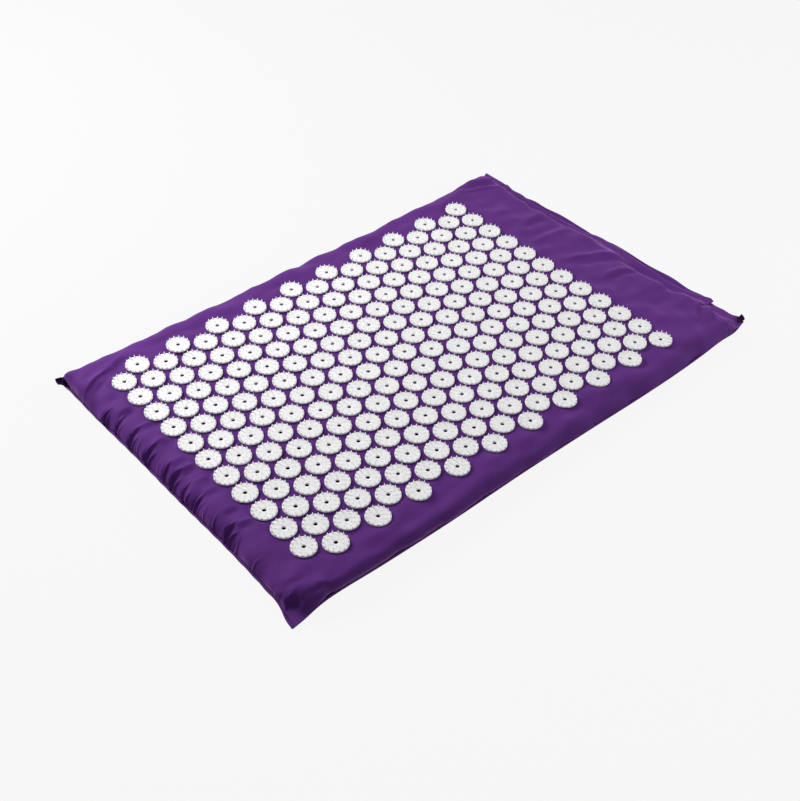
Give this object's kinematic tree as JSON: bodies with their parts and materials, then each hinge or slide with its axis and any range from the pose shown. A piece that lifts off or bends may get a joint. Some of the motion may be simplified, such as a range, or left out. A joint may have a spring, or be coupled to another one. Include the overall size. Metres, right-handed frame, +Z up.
{
  "type": "acupressure mat",
  "caption": "Flat foam mat in a loose cloth cover, with rows of round plastic spike discs on top and a closing lip at one end.",
  "frame": {"origin": "centre of the mat's bounding box, on the floor that it lies on", "axes": "+X along the mat from the gathered end to the open end, +Y across it from the near long side to the far one, +Z up out of the face with the discs"},
  "size_m": [0.6742, 0.4304, 0.0275],
  "materials": {
    "cover_cloth": "woven cotton with a soft sheen",
    "cover_lining": "matt woven cotton",
    "foam": "open-cell foam",
    "hook_and_loop": "hook and loop tape",
    "disc_plastic": "moulded, semi-gloss"
  },
  "bodies": {
    "mat": {"cover_top": "cover_cloth", "cover_bottom": "cover_lining", "foam_core": "foam", "end_seam": "cover_lining", "near_side_seam": "cover_lining", "far_side_seam": "cover_lining", "loop_patch_1": "hook_and_loop", "loop_patch_2": "hook_and_loop", "loop_patch_3": "hook_and_loop", "disc_column_01": "disc_plastic", "disc_column_02": "disc_plastic", "disc_column_03": "disc_plastic", "disc_column_04": "disc_plastic", "disc_column_05": "disc_plastic", "disc_column_06": "disc_plastic", "disc_column_07": "disc_plastic", "disc_column_08": "disc_plastic", "disc_column_09": "disc_plastic", "disc_column_10": "disc_plastic", "disc_column_11": "disc_plastic", "disc_column_12": "disc_plastic", "disc_column_13": "disc_plastic", "disc_column_14": "disc_plastic", "disc_column_15": "disc_plastic", "disc_column_16": "disc_plastic", "disc_column_17": "disc_plastic", "disc_column_18": "disc_plastic", "disc_column_19": "disc_plastic", "disc_column_20": "disc_plastic"},
    "closure_lip": {"closure_flap": "cover_cloth", "hook_patch_1": "hook_and_loop", "hook_patch_2": "hook_and_loop", "hook_patch_3": "hook_and_loop"}
  },
  "joints": [
    {"name": "closure_flap_hinge", "type": "hinge", "parent": "mat", "child": "closure_lip", "pos_m": [0.30062, -0.00606, 0.0222], "axis": [0, -1, 0], "range_deg": [0, 150]}
  ]
}
